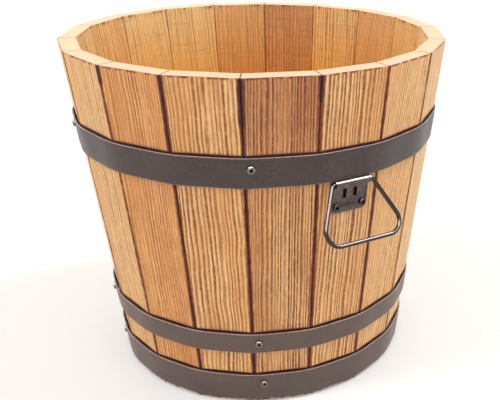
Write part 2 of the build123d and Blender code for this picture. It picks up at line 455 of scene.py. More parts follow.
    def age(self, graph: Graph, board: Socket, inner: Socket | float, colour: Socket) -> Socket:
        """Drifts of tone, resin ducts, what weather and use did to either face, and painted shade down the
        inside.

        Args:
            graph: the material's graph.
            board: place on the board in millimetres.
            inner: 1 on the inside of the tub.
            colour: of the grain.

        Returns:
            The new colour.
        """
        # Broad drifts of tone across the board, and towards the rim.
        tone = graph.patches(board, (0.03, 0.03, 0.007), 0.42, 0.62, 0.45)
        colour = graph.blend(tone, colour, self.tone)
        along = add_node(graph.tree, "ShaderNodeSeparateXYZ", 2, {0: board})
        rim = graph.spread(along, *RIM_SHADE_LEVELS, 0.0, self.rim_shade)
        colour = graph.blend(rim, colour, "#ddc6bd", "MULTIPLY")

        # Resin ducts: short dark dashes about half a millimetre wide.
        duct = graph.patches(board, (1.5, 1.5, 0.16), 0.6, 0.72, self.flecks, detail=2.0)
        colour = graph.blend(duct, colour, self.stain_and_shade)

        # Daylight has greyed the outside a little.
        outside = graph.math("SUBTRACT", 1.0, inner)
        colour = graph.blend(outside, colour, self.weathered, "MULTIPLY")

        # Scraper marks round the inside, level lines a millimetre or two apart.
        scrape = graph.patches(board, (0.02, 0.02, 0.55), 0.56, 0.7, 0.4)
        colour = graph.blend(graph.math("MULTIPLY", scrape, inner), colour, self.late)

        # The sheltered inside keeps the oil's warm orange, and painted shade darkens it from just below the
        # rim to full further down.
        colour = graph.blend(graph.math("MULTIPLY", inner, self.warmth), colour, self.oil)
        depth = graph.spread(along, *INSIDE_SHADE_LEVELS)
        return graph.blend(graph.math("MULTIPLY", depth, inner), colour, self.inside_shade, "MULTIPLY")

    def soil_and_shade(self, graph: Graph, board: Socket, stain_and_shade: Socket | float, colour: Socket) -> Socket:
        """Stain and dirt in the grooves, and painted shade along the hoops and behind the handle plates:
        red-brown where thin, nearly black where thick.

        Args:
            graph: the material's graph.
            board: place on the board in millimetres.
            stain_and_shade: how much stain, dirt and painted shade lies there, from 0 to 1.
            colour: of the clean wood.

        Returns:
            The new colour.
        """
        blotch = graph.noise(graph.scaled(board, (0.7, 0.7, 0.12)), detail=3.0)
        dirt_and_shade = graph.math("MULTIPLY", stain_and_shade, graph.spread(blotch, 0.3, 0.7, 0.75, 1.25))
        colour = graph.blend(graph.spread(dirt_and_shade, 0.05, 0.5, smooth=True), colour, self.stain_and_shade)
        return graph.blend(graph.spread(dirt_and_shade, 0.55, 1.0, smooth=True), colour, self.deep_stain_and_shade)


@dataclass(frozen=True)
class SatinPaint:
    """Satin paint on rolled steel strip.

    A brown-grey coat with a fine orange peel, faint clouds of purple and brown, specks of dust, and edges
    made lighter: partly rubbed by handling, partly painted highlight.
    """

    name: str
    colour: str
    cloud: str
    dust_wear_and_highlight: str = "#bba79b"
    roughness: float = 0.4

    def material(self) -> bpy.types.Material:
        """Build the paint on Object coordinates and the piece's own edge value."""
        graph, made = Graph.of_material(self.name)
        here = graph.coordinates()
        clouds = graph.spread(graph.noise(here, 28.0, 4.0), 0.35, 0.68)
        colour = graph.blend(clouds, self.colour, self.cloud)
        # Dust specks of about a millimetre.
        specks = graph.spread(graph.noise(here, 900.0), 0.55, 0.75, 0.0, 0.12)
        colour = graph.blend(specks, colour, self.dust_wear_and_highlight)
        # Lighter edges: paint rubbed by handling, and a painted highlight along the strip's edges.
        wear = graph.spread(graph.noise(here, 160.0, 4.0), 0.35, 0.6, 0.5, 1.0)
        colour = graph.blend(graph.math("MULTIPLY", wear, graph.attribute("edge")), colour, self.dust_wear_and_highlight)
        graph.surface({
            "Base Color": colour, "IOR": 1.5,
            "Roughness": graph.spread(clouds, start=self.roughness, end=self.roughness + 0.08),
            "Normal": graph.bump(graph.noise(here, 600.0), 0.35, 0.00006)})
        return made


@dataclass(frozen=True)
class BlackedSteel:
    """Steel blacked and polished, such as drawn wire and pan-head screws.

    A near-black metal whose highlights are sharp and white, dulled in places by
    fingering and fine scratches.
    """

    name: str
    colour: str
    worn: str = "#b9b3ad"
    wear: float = 0.2
    roughness: float = 0.16
    dirt_and_shade: float = 0.0  # how black the recess is painted, as dirt and painted shade, where the piece marks one

    def material(self) -> bpy.types.Material:
        """Build the metal on Object coordinates."""
        graph, made = Graph.of_material(self.name)
        here = graph.coordinates()
        rub = graph.spread(graph.noise(here, 240.0, 5.0, 0.7), 0.52, 0.72, 0.0, self.wear)
        colour = graph.blend(rub, self.colour, self.worn)
        # The recess is painted near black: dirt, and painted shade in the cross and at the seat.
        if self.dirt_and_shade:
            grime_and_shade = graph.math("MULTIPLY", graph.attribute("recess"), self.dirt_and_shade)
            colour = graph.blend(grime_and_shade, colour, "#050404")
        smear = graph.noise(here, 90.0, 3.0)
        graph.surface({
            "Base Color": colour, "Metallic": 1.0,
            "Roughness": graph.spread(smear, 0.3, 0.7, self.roughness, self.roughness + 0.12),
            "Normal": graph.bump(smear, 0.2, 0.0001)})
        return made


# The tub's wall


@dataclass(frozen=True)
class Wall:
    """Round wall of flat staves: a cone of equal sides that widens upwards."""

    height: float
    foot_apothem: float
    lean: float
    thickness: float = 20.5
    stave_count: int = 18
    seam: float = 0.01  # half of the gap between neighbouring staves

    @classmethod
    def from_frame(cls) -> "Wall":
        """Read the wall's height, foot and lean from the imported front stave."""
        points = node_points("stave_01")
        foot = -points[points[:, 2] < 0.5, 1].min()
        outermost = points[points[:, 1].argmin()]
        return cls(points[:, 2].max(), foot, np.arctan((-outermost[1] - foot) / outermost[2]))

    @property
    def half_turn(self) -> float:
        """Half of one stave's share of the circle, in radians."""
        return np.pi / self.stave_count

    def turn(self, number: int) -> float:
        """Turn of a stave, counted from the front one, in radians."""
        return 2 * self.half_turn * number

    def apothem(self, level: Array) -> Array:
        """Distance from the axis to the middle of a stave's outside."""
        return self.foot_apothem + level * np.tan(self.lean)

    def inner_apothem(self, level: Array) -> Array:
        """Distance from the axis to the middle of a stave's inside."""
        return self.apothem(level) - self.thickness / np.cos(self.lean)

    def place(self, number: int, level: float, along: float, lift: float) -> Array:
        """Frame on the outside of a stave.

        Args:
            number: the stave, counted round from the front one.
            level: height of the place.
            along: sideways from the middle of the stave, seen from outside.
            lift: distance off the stave's face.

        Returns:
            Four by three: across, up the stave, outwards, and the origin.
        """
        c, s = np.cos(self.lean), np.sin(self.lean)
        axes = np.array([[1, 0, 0], [0, -s, c], [0, -c, -s]])
        origin = np.array([along, -self.apothem(level), level]) + lift * axes[2]
        return np.vstack([axes, origin]) @ spin(self.turn(number)).T


@dataclass(frozen=True)
class Hoop:
    """One hoop: its node, and how far its screws stand from the joints on their left."""

    node: str
    near_inset: float
    far_inset: float
    paint: SatinPaint

    @property
    def levels(self) -> tuple[float, float]:
        """Bottom and top edge."""
        return heights(self.node)


class Cut(Enum):
    """How a board was sawn from its log: the log's heart, sideways and outwards of it."""

    QUARTER_LEFT = (-165.0, -45.0)
    QUARTER_RIGHT = (165.0, -45.0)
    RIFT_LEFT = (-105.0, -90.0)
    RIFT_RIGHT = (105.0, -90.0)
    FLAT = (9.0, -82.0)


@dataclass(frozen=True)
class Board:
    """One stave's timber: its finish, how it was sawn, and how wide its rings are."""

    wood: Softwood
    cut: Cut
    ring_width: float
    finer: float = 0.0  # share by which the rings narrow over the board
    drift: float = 0.0  # sideways run of the heart over the stave's height
    sway: float = 1.6  # sideways waves of the grain

    def rings(self, across: Array, depth: Array, along: Array, seed: int) -> Array:
        """Number of the yearly ring at each place.

        The distance from the log's heart, which runs askew and sways slowly, is measured
        in rings of uneven width.

        Args:
            across: sideways on the board.
            depth: outwards, 0 on the outside and negative within.
            along: up the board.
            seed: start of the random draws.

        Returns:
            Ring numbers.
        """
        side, back = self.cut.value
        sway = self.sway * (value_noise(along / 110, across / 60 + 9, seed)
                            + 0.3 * value_noise(along / 28, across / 24 + 9, seed + 3))
        skew = self.drift * (along / BOARD_RUN - 0.5)
        reach = np.hypot(across - side - sway - skew, depth - back - 0.35 * sway)
        draws = np.random.default_rng(seed + 7)
        steps = 400
        widths = self.ring_width * (1 - self.finer * smooth_step(np.linspace(0, 1, steps), 0.15, 0.6))
        widths = widths * np.exp(0.28 * draws.standard_normal(steps))
        start = max(abs(side) - 60.0, 30.0)
        return np.interp(reach, start + np.cumsum(widths), np.arange(steps))


@dataclass(frozen=True)
class JointStain:
    """How dark the groove at one joint is: near the rim, and below."""

    rim: float
    below: float
    fade: float = 60.0  # drop at which the rim's part ends
    width: float = 0.0  # of stain on the faces beside the groove, near the rim

    def near_rim(self, drop: Array) -> Array:
        """Share of the rim's value at each distance below the rim."""
        return 1 - smooth_step(drop, 0.8 * self.fade, self.fade)

    def at(self, drop: Array, seed: int) -> Array:
        """Darkness at each distance below the rim, broken up by slow and fine noise."""
        base = self.below + (self.rim - self.below) * self.near_rim(drop)
        slow = value_noise(drop / 38, np.full_like(drop, 0.5), seed)
        fine = value_noise(drop / 7, np.full_like(drop, 1.5), seed + 1)
        return np.clip(base + 0.14 * slow + 0.1 * fine, 0.0, 1.3)

    def spread(self, drop: Array, seed: int) -> Array:
        """How far the stain spreads onto the faces beside the groove."""
        return self.width * self.near_rim(drop) + 0.5 * value_noise(drop / 5, 0 * drop, seed + 2)


@dataclass
class Stave:
    """One stave: a tapered board with rounded long edges, a worn rim and a sawn foot."""

    wall: Wall
    hoops: list[Hoop]
    number: int
    board: Board
    left: JointStain
    right: JointStain
    outside_round: float = 2.2
    inside_round: float = 1.2
    rim_round: float = 0.8
    groove_bottom: float = 20.0
    groove_height: float = 18.4
    groove_depth: float = 6.0
    plate_half_width: float = 21.5
    row_pitch: float = 4.0
    face_columns: int = 60
    corner_columns: int = 9

    def rows(self) -> tuple[Array, Array, Array, Array]:
        """Rows of the surface from the foot's middle to the rim's middle.

        Returns:
            Level, inset, shrink towards the middle, and whether the row cuts the groove.
        """
        h, b = self.wall.height, self.rim_round
        low, high = self.groove_bottom, self.groove_bottom + self.groove_height
        steps = (-1.5, -0.7, 0.0, 0.8, 1.6, 2.4)
        edges = [level + step for hoop in self.hoops for level in hoop.levels for step in steps]
        near_rim = [h - b - drop for drop in (3.2, 2.0, 1.1, 0.4, 0.0)]
        walls = np.unique(np.round([1.6, *np.arange(4.0, h - 4.0, self.row_pitch), *edges, *near_rim], 2))
        walls = walls[(walls > 1.5) & (walls <= h - b) & (np.abs(walls - low) > 0.3)
                      & (np.abs(walls - high) > 0.3)]
        tip = 0.02
        walls = np.sort(np.concatenate([walls, [low - tip, low + tip, high - tip, high + tip]]))
        bend = np.radians([22.5, 45.0, 67.5, 90.0])
        level = np.concatenate([[0, 0, 0, 0.5], walls, h - b + b * np.sin(bend), [h, h, h]])
        inset = np.concatenate([[0.5, 0.5, 0.5, 0.0], 0 * walls, b * (1 - np.cos(bend)), [b, b, b]])
        shrink = np.concatenate([[0.35, 0.7, 1, 1], 1 + 0 * walls, 1 + 0 * bend, [0.8, 0.55, 0.25]])
        return level, inset, shrink, (level > low) & (level < high)

    def corner(self, x: Array, out: Array, radius: Array, angles: Array) -> tuple[Array, Array]:
        """Rounded corner of the section, row by row.

        A circle of the radius touches both sides; its middle lies inside the corner by
        the radius along each side's normal.

        Args:
            x: corner, sideways.
            out: corner, outwards.
            radius: of the rounding.
            angles: directions of the outward normals from side to side, from outwards.

        Returns:
            Sideways and outward places.
        """
        start, end = angles[0, 0], angles[0, -1]
        reach = radius / np.cos((end - start) / 2)
        middle = (start + end) / 2
        return (x - reach * np.sin(middle) + radius * np.sin(angles),
                out - reach * np.cos(middle) + radius * np.cos(angles))

    def section(self, level: Array) -> tuple[Array, Array, Array]:
        """Outline of the stave at each level, counter-clockwise seen from above.

        Args:
            level: heights, one a row.

        Returns:
            Sideways place, distance from the axis, and the outward normal's direction.
        """
        level = np.clip(level, 0, self.wall.height)[:, None]
        a = self.wall.half_turn
        out, inside = self.wall.apothem(level), self.wall.inner_apothem(level)
        seam = self.wall.seam / np.cos(a)
        outer_half, inner_half = out * np.tan(a) - seam, inside * np.tan(a) - seam
        first, second = (self.outside_round + 0.25
                         + 0.25 * value_noise(level / 30, 0 * level, Seed.EDGE + self.number * 2 + side)
                         for side in (0, 1))
        soft = np.full_like(level, self.inside_round)
        side, back, whole = np.pi / 2 + a, np.pi, 2 * np.pi
        corners = [
            (outer_half, out, second, 0.0, side),
            (inner_half, inside, soft, side, back),
            (-inner_half, inside, soft, back, whole - side),
            (-outer_half, out, first, whole - side, whole),
        ]
        counts = (5, self.face_columns * 2 // 3, 5, self.face_columns)
        arcs = []
        for x, y, radius, start, end in corners:
            angles = np.linspace(start, end, self.corner_columns)[None, :]
            arcs.append((*self.corner(x, y, radius, angles), angles + 0 * level))
        xs, outs, normals = [], [], []
        for index, count in enumerate(counts):
            here, after = arcs[index], arcs[(index + 1) % 4]
            share = np.linspace(0, 1, count + 2)[1:-1][None, :]
            xs += [here[0], here[0][:, -1:] * (1 - share) + after[0][:, :1] * share]
            outs += [here[1], here[1][:, -1:] * (1 - share) + after[1][:, :1] * share]
            normals += [here[2], here[2][:, -1:] + 0 * share]
        return np.hstack(xs), np.hstack(outs), np.hstack(normals)

    def stain_and_shade(self, x: Array, out: Array, z: Array, inset: Array) -> Array:
        """Stain and dirt in the joints, along the rim and at the foot, and painted shade along the hoops and
        behind the handle plates.

        Args:
            x: sideways place.
            out: distance from the axis.
            z: level.
            inset: how far the rim's rounding has drawn a row in.

        Returns:
            Stain and painted shade from 0 to about 1.
        """
        depth, drop = self.wall.apothem(z) - out, self.wall.height - z
        outer_half = self.wall.apothem(z) * np.tan(self.wall.half_turn)
        seeds = Seed.JOINT + self.number, Seed.JOINT + self.number + 1
        joints = np.where(x < 0, self.left.at(drop, seeds[0]), self.right.at(drop, seeds[1]))
        spread = np.where(x < 0, self.left.spread(drop, seeds[0]), self.right.spread(drop, seeds[1]))
        groove = smooth_step(depth, -0.05, 0.55)
        off_edge = np.maximum(outer_half - np.abs(x) - self.outside_round - spread, 0)
        inside_depth = out - self.wall.inner_apothem(z)
        within = 1.3 * smooth_step(inside_depth, -0.05, 0.4)
        on_front = depth < self.wall.thickness / 2
        stain_and_shade = joints * np.where(on_front, np.maximum(groove, 0.75 * np.exp(-off_edge / 0.45)), within)
        chips = (value_noise(x / 4.5, 0 * x + self.number, Seed.RIM)
                 + 0.6 * value_noise(x / 1.4, 0 * x, Seed.RIM + 1))
        below_rim = np.maximum(drop - self.rim_round - 0.3, 0)
        rim = np.exp(-below_rim / 0.9) * np.clip(0.35 + 0.4 * chips, 0, 0.9)
        stain_and_shade = np.maximum(stain_and_shade, np.where((depth < 1.0) & (inset <= 0.3), rim, 0))
        inner_rim = 0.45 * np.exp(-np.maximum(drop - 1.0, 0) / 3.0) * np.clip(0.4 + 0.7 * chips, 0, 1)
        stain_and_shade = np.maximum(stain_and_shade, np.where((inside_depth < 1.0) & (inset <= 0.1), inner_rim, 0))
        # Painted shade: a near-black band under each hoop, running out into the gaps above and below its
        # edges, widest above the top edge.
        for hoop in self.hoops:
            bottom, top = hoop.levels
            beyond = np.maximum(z - top, bottom - z)
            line = 1.4 * np.exp(-np.maximum(beyond - np.where(z > top, 1.5, 0.5), 0) / 0.5)
            stain_and_shade = np.maximum(stain_and_shade, np.where(depth < 3, line, 0))
        # Painted shade behind the handle plates of the front and back staves.
        if self.number % (self.wall.stave_count // 2) == 0:
            stain_and_shade = np.maximum(stain_and_shade, self.painted_shade_behind_plate(x, z, depth))
        foot = 0.55 + 0.5 * value_noise(x / 2.3, z / 2, Seed.FOOT)
        stain_and_shade = np.maximum(stain_and_shade, foot * smooth_step(-z, -6.0, -3.0))
        return np.where(inset >= 0.7 * self.rim_round, 0.1 * np.clip(chips, 0, 1), stain_and_shade)

    def painted_shade_behind_plate(self, x: Array, z: Array, depth: Array) -> Array:
        """Painted shade behind a handle's plate, black where it shows through the plate's windows.

        Args:
            x: sideways place.
            z: level.
            depth: below the outside.

        Returns:
            Painted shade from 0 to about 1, with a red-brown fringe of painted shadow beyond the plate's
            edge.
        """
        low, high = heights("handle_plate_front")
        aside = np.abs(x - PLATE_SHIFT) - self.plate_half_width
        beyond = np.maximum(aside, np.maximum(z - high, low - z))
        plate_shade = 1.3 * np.exp(-np.maximum(beyond + 4, 0) / 1.3) + 0.35 * np.exp(-np.maximum(beyond, 0) / 1.2)
        return np.where(depth < 3, plate_shade, 0)

    def build(self) -> bpy.types.Object:
        """Make the stave's mesh with its board, ring, stain and painted shade, end and inner values.

        The rim is chipped, the outside a little hollow in places, and the foot ragged and
        splintered.

        Returns:
            The stave's object.
        """
        level, inset, shrink, grooved = self.rows()
        x, out, normal = self.section(level)
        level, inset = level[:, None] + 0 * x, inset[:, None] + 0 * x
        edge_x = 40.0 + x
        chip = np.clip(value_noise(edge_x / 2.6, out / 6, Seed.CHIP + self.number) - 0.55, 0, 1) * 2.2
        worn = inset * (1 + chip)
        x, out = x - worn * np.sin(normal), out - worn * np.cos(normal)
        outside = np.cos(normal) > 0.99
        hollow = 0.12 * value_noise(edge_x / 17, level / 90, Seed.HOLLOW + self.number) - 0.12
        hollow = np.where(outside & (level > 2), hollow, 0)
        out = out + hollow
        groove = self.wall.inner_apothem(self.groove_bottom) + self.groove_depth
        deeper = np.sqrt(np.maximum(groove**2 - x**2, 0))
        out = np.where(grooved[:, None] & (out < deeper), deeper, out)
        middle = (out.max(1) + out.min(1))[:, None] / 2
        x, out = x * shrink[:, None], middle + (out - middle) * shrink[:, None]
        ragged = np.clip(0.4 + 1.2 * value_noise(edge_x / 2.6, out / 5, Seed.RAGGED + self.number), 0, 1.4)
        z = np.where(level < 1.0, level + ragged, level)
        splinter = np.clip(value_noise(edge_x / 1.9, level / 2.5, Seed.SPLINTER + self.number), 0, 1) * 1.6
        out = out + np.where(outside, splinter * (1 - smooth_step(level, 1.5, 4.5)), 0)
        sunk = 0.12 * np.clip(value_noise(edge_x / 5, out / 3, Seed.SUNK + self.number), 0, 1)
        z = np.where((shrink < 1)[:, None] & (level > 5), z - sunk, z)
        depth = out - self.wall.apothem(z)
        along = z / np.cos(self.wall.lean)
        own_place = 173 * self.number  # sets each board's noise apart
        shell = Shell()
        shell.add(
            turned(x, out, z, self.wall.turn(self.number)),
            board=np.stack([x + own_place, depth, along], -1),
            ring=self.board.rings(x, depth, along, Seed.RINGS + self.number),
            stain_and_shade=self.stain_and_shade(x, out - hollow, z, inset),
            end=np.maximum(smooth_step(inset, 0.25, 0.6), 0.6 * (z < 1.4)),
            inner=(np.cos(normal) < -0.9).astype(float),
        )
        return shell.build(f"planed_stave_{self.number + 1:02d}", crease=50)


# Metalwork


def strip_section(width: float, height: float, radius: float, side_rows: int) -> tuple[Array, Array, Array]:
    """Closed section of a strip with rounded edges, outside face first and upwards.

    Args:
        width: through the strip, from its inside to its outside.
        height: of the strip.
        radius: of the edges.
        side_rows: rows within each broad face.

    Returns:
        Outward place from the strip's inside, height above its bottom, and edge wear, which the paint also
        uses for a painted highlight.
    """
    quarter = np.radians(np.linspace(0, 90, 5))
    faces = np.linspace(radius, height - radius, side_rows + 2)[1:-1]
    centres = [(width - radius, radius), (width - radius, height - radius),
               (radius, height - radius), (radius, radius)]
    broad_faces = {0: (width, faces), 2: (0.0, faces[::-1])}  # after the first and third corner
    out, up, wear = [], [], []
    for index, (start, (cx, cz)) in enumerate(zip(np.radians([-90, 0, 90, 180]), centres)):
        out.append(cx + radius * np.cos(start + quarter))
        up.append(cz + radius * np.sin(start + quarter))
        wear.append(np.sin(2 * quarter))
        if index in broad_faces:
            place, climb = broad_faces[index]
            out.append(np.full(side_rows, place))
            up.append(climb)
            wear.append(np.zeros(side_rows))
    return np.concatenate(out), np.concatenate(up), np.concatenate(wear)


@dataclass
class Strap:
    """A hoop's strip, bent round the staves, with its end lapped over its start."""

    wall: Wall
    hoop: Hoop
    bend_radius: float = 120.0
    lap_stave: int = 6
    lap_half: float = 19.0
    joggle: float = 7.0
    edge_radius: float = 0.7
    lap_play: float = 0.03

    def stations(self, lap: float, step: float) -> tuple[Array, Array, Array]:
        """Stations along the strip, from its hidden end round to the lap.

        Args:
            lap: half length of the lap, over the flat's half length.
            step: where the joggle ends, over the flat's half length.

        Returns:
            Stave number, share of the flat's half length or nan on a bend, and share of
            the bend or nan on a flat.
        """
        last = self.lap_stave + self.wall.stave_count
        bend = np.linspace(0, 1, 9)[1:-1]
        rows = [(self.lap_stave, share, np.nan) for share in np.linspace(-lap, 1, 8)]
        for number in range(self.lap_stave + 1, last + 1):
            rows += [(number - 1, np.nan, share) for share in bend]
            flat = np.linspace(-1, 1, 7)
            if number == last:
                flat = np.concatenate([np.linspace(-1, -step, 3), np.linspace(-step, -lap, 9)[1:],
                                       np.linspace(-lap, lap, 7)[1:]])
            rows += [(number, share, np.nan) for share in flat]
        return tuple(np.array(column, float)[:, None] for column in zip(*rows))

    def flat_half(self, apothem: Array) -> Array:
        """Half length of a flat between two bends."""
        return (apothem - self.bend_radius) * np.tan(self.wall.half_turn)

    def build(self) -> bpy.types.Object:
        """Carry the strip's section along its path.

        On a flat a point lies at the flat's distance from the axis. On a bend it lies on
        a circle whose middle is the bend radius inside both flats.

        Returns:
            The hoop's object.
        """
        bottom, top = self.hoop.levels
        mid_half = self.flat_half(self.wall.apothem((bottom + top) / 2) + HOOP_GAP)
        lap, step = self.lap_half / mid_half, (self.lap_half + self.joggle) / mid_half
        number, flat, bend = self.stations(lap, step)
        section = strip_section(HOOP_THICKNESS, top - bottom, self.edge_radius, 6)
        out, up, wear = (part[None, :] for part in section)
        level = bottom + up
        order = np.arange(len(number))[:, None] / len(number)
        on_lap = (number == self.lap_stave + self.wall.stave_count) & ~np.isnan(flat)
        rise = np.where(on_lap, smooth_step(np.nan_to_num(flat), -step, -lap), 0)
        wave = 0.05 + 0.05 * value_noise(order * 60, level / 40, len(self.hoop.node))
        lifted = HOOP_GAP + out + rise * (HOOP_THICKNESS + self.lap_play) + wave
        inner = self.wall.apothem(level) + HOOP_GAP / np.cos(self.wall.lean)
        reach = self.wall.apothem(level) + lifted / np.cos(self.wall.lean)
        half = self.flat_half(inner)
        angle = np.nan_to_num(bend) * 2 * self.wall.half_turn
        radius = self.bend_radius + reach - inner
        on_bend = ~np.isnan(bend)
        x = np.where(on_bend, half + radius * np.sin(angle), np.nan_to_num(flat) * half)
        distance = np.where(on_bend, inner - self.bend_radius + radius * np.cos(angle), reach)
        shell = Shell()
        # The edge value lightens the paint along the strip's edges: worn paint and painted highlight.
        shell.add(turned(x, distance, level + 0 * x, self.wall.turn(number)), clockwise=True,
                  pole_value=0.0, edge=np.broadcast_to(wear, x.shape))
        return shell.build(f"strap_{self.hoop.node}", crease=35)


@dataclass
class ScrewHead:
    """Pan head with a cross recess, with its shank down into the wood."""

    radius: float = 4.3
    rim: float = 1.3
    height: float = 2.8
    shank_radius: float = 1.7
    shank_length: float = 9.0
    recess_width: float = 1.35
    recess_length: float = 4.9
    recess_depth: float = 1.75

    def add(self, shell: Shell, place: Array, twist: float) -> None:
        """Add one screw to a group.

        Rings run from the shank's tip over the seat and the rim to the crown. The crown
        is a shallow dome, less a cross whose arms slope inwards.

        Args:
            shell: the group.
            place: frame of the seat.
            twist: turn of the cross, in radians.
        """
        around = np.linspace(0, 2 * np.pi, 64, endpoint=False)[None, :]
        crown = np.linspace(self.radius, 0.06, 30)[1:]
        dome = self.rim + (self.height - self.rim) * np.sqrt(1 - (crown / self.radius)**2 + 1e-9)
        shank = [0.5, self.shank_radius, self.shank_radius]
        radius = np.array([*shank, *[self.radius] * 3, self.radius - 0.03, *crown])[:, None]
        z = np.array([-self.shank_length, 2 - self.shank_length, 0, 0, 0.15,
                      self.rim - 0.25, self.rim - 0.05, *dome])[:, None]
        x, y = radius * np.cos(around), radius * np.sin(around)
        long_way, short_way = np.maximum(abs(x), abs(y)), np.minimum(abs(x), abs(y))
        arm = smooth_step(-short_way, -self.recess_width / 2 - 0.12, -self.recess_width / 2 + 0.15)
        ends = smooth_step(-long_way, -self.recess_length / 2, -self.recess_length / 2 + 0.7)
        on_crown = (z > self.rim) & (radius < self.radius - 0.1)
        sunk = np.where(on_crown, arm * ends, 0)
        z = z - self.recess_depth * sunk
        # The recess value marks the sunk cross and the seat, where the metal is painted black as dirt and
        # painted shade.
        seat = 0.9 * smooth_step(-z, -0.5, -0.1)
        c, s = np.cos(twist), np.sin(twist)
        local = np.stack(np.broadcast_arrays(x * c - y * s, x * s + y * c, z), -1)
        shell.add(local @ place[:3] + place[3], pole_value=1.0, recess=np.maximum(sunk, seat))


@dataclass
class Rivet:
    """Hammered dome over a hoop's lap."""

    radius: float = 5.0
    height: float = 2.4
    rim: float = 0.35
    sunk: float = 0.4

    def add(self, shell: Shell, place: Array, seed: int) -> None:
        """Add one rivet to a group: a flat seat, a short rim and a dome with hammer marks.

        Args:
            shell: the group.
            place: frame of the seat.
            seed: start of the random draws.
        """
        around = np.linspace(0, 2 * np.pi, 40, endpoint=False)[None, :]
        climb = np.linspace(0, 1, 16)[1:-1] * np.pi / 2
        radius = np.array([self.radius - 1, self.radius, self.radius,
                           *self.radius * np.cos(climb)])[:, None]
        dome = self.rim + (self.height - self.rim) * np.sin(climb)
        z = np.array([-self.sunk, -self.sunk, self.rim, *dome])[:, None]
        x, y = radius * np.cos(around), radius * np.sin(around)
        marks = 0.12 * np.abs(value_noise(x / 1.8 + 20, y / 1.8 + 20, seed))
        local = np.stack([x, y, np.where(z > self.rim, z - marks, z + 0 * x)], -1)
        shell.add(local @ place[:3] + place[3])


@dataclass
class Bail:
    """Closed wire loop in the shape of a trapezium, wider at its foot."""

    wall: Wall
    number: int
    joint: str
    top_width: float = 48.8
    bottom_width: float = 107.0
    length: float = 62.6
    top_radius: float = 3.5
    bottom_radius: float = 15.0
    wire_radius: float = 2.39
    swing: float = 28.0

    def route(self) -> tuple[Array, Array]:
        """Middle line of the wire in the loop's plane.

        Each corner is an arc that touches both its sides. Straight runs join the arcs.

        Returns:
            Points and outward normals, two numbers each, in order round the loop.
        """
        top, bottom = self.top_width / 2, self.bottom_width / 2
        corners = np.array([(top, 0), (-top, 0), (-bottom, -self.length), (bottom, -self.length)])
        radii = (self.top_radius, self.top_radius, self.bottom_radius, self.bottom_radius)
        after = np.roll(corners, -1, 0) - corners
        heading = np.unwrap(np.arctan2(after[:, 1], after[:, 0]))
        points, normals = [], []
        for index, (corner, radius) in enumerate(zip(corners, radii)):
            start, end = heading[index - 1], heading[index]
            if end < start:
                start -= 2 * np.pi
            turn = np.linspace(start, end, 16) - np.pi / 2
            middle = (start + end) / 2 - np.pi / 2
            reach = radius / np.cos((end - start) / 2)
            centre = corner - reach * np.array([np.cos(middle), np.sin(middle)])
            away = np.stack([np.cos(turn), np.sin(turn)], -1)
            points.append(centre + radius * away)
            normals.append(away)
        runs, run_normals = [], []
        share = np.linspace(0, 1, 14)[1:-1][:, None]
        for index in range(4):
            here, there = points[index][-1], points[(index + 1) % 4][0]
            runs += [points[index], here * (1 - share) + there * share]
            run_normals += [normals[index], np.repeat(normals[index][-1:], len(share), 0)]
        return np.vstack(runs), np.vstack(run_normals)

    def build(self, name: str) -> bpy.types.Object:
        """Carry the wire's round section along the route, and hang it on the hinge."""
        route, normal = self.route()
        joint = next(j for j in frame["joints"] if j["name"] == self.joint)
        hinge = np.array(joint["pos_m"]) / METRES
        across, inwards, _ = spin(self.wall.turn(self.number)).T
        tilt = np.radians(self.swing)
        up = np.array([0, 0, 1.0]) * np.cos(tilt) + inwards * np.sin(tilt)
        facing = np.cross(across, up)
        around = np.linspace(0, 2 * np.pi, 28, endpoint=False)[None, :, None]
        middle = (route[:, :1] * across + route[:, 1:] * up + hinge)[:, None, :]
        side = (normal[:, :1] * across + normal[:, 1:] * up)[:, None, :]
        shell = Shell()
        shell.add(middle + self.wire_radius * (np.cos(around) * side + np.sin(around) * facing), looped=True)
        return shell.build(name, crease=60)


# Finishes of this tub. Each wood names its early wood, its late wood and the broad tone that
# drifts between them; paints and metals name their colour and the lighter one over it.

# Honey-coloured boards, evenly lined, and paler ones beside them.
HONEY = Softwood("oiled_larch_honey", "#f4c283", "#8e4c16", "#dfa263", contrast=0.95, flecks=0.3)
PALE = Softwood("oiled_larch_pale", "#eec48c", "#9c5f28", "#deae74", contrast=1.0, fleck="#f3cf9f")
# Redder, closer-grained boards.
ROSY = Softwood("oiled_larch_rosy", "#ebab67", "#8a4716", "#c97d3e", contrast=1.0, fleck="#ebb378")
# The two front boards: bold dark stripes, and a brown one that darkens towards the rim.
STRIPED = Softwood("oiled_larch_striped", "#f7c282", "#7c3609", "#cc8440", contrast=1.2, fleck="#f8cb90")
BROWN = Softwood("oiled_larch_brown", "#efb676", "#6c2906", "#b56c36", contrast=1.2, rim_shade=1.0,
                 fleck="#efbf86")
# Boards known from the inside: deep orange, dull red-brown, and light gold.
AMBER = Softwood("oiled_larch_amber", "#ffce84", "#924810", "#e5a256", contrast=1.2, fleck="#ffd392")
RUSSET = Softwood("oiled_larch_russet", "#de9f69", "#84401a", "#c07844", contrast=0.9, warmth=0.1,
                  fleck="#dfa472")
GOLD = Softwood("oiled_larch_gold", "#ffe0a0", "#a05a1c", "#f4c47c", contrast=0.95, warmth=0.36,
                fleck="#ffe2ae", weathered="#eedfe0")
# Rough-sawn boards of the bottom, duller than the wall.
SAWN = Softwood("sawn_larch_boards", "#d9a66a", "#96602f", "#bd834b", contrast=0.8, fleck="#e3b47c")

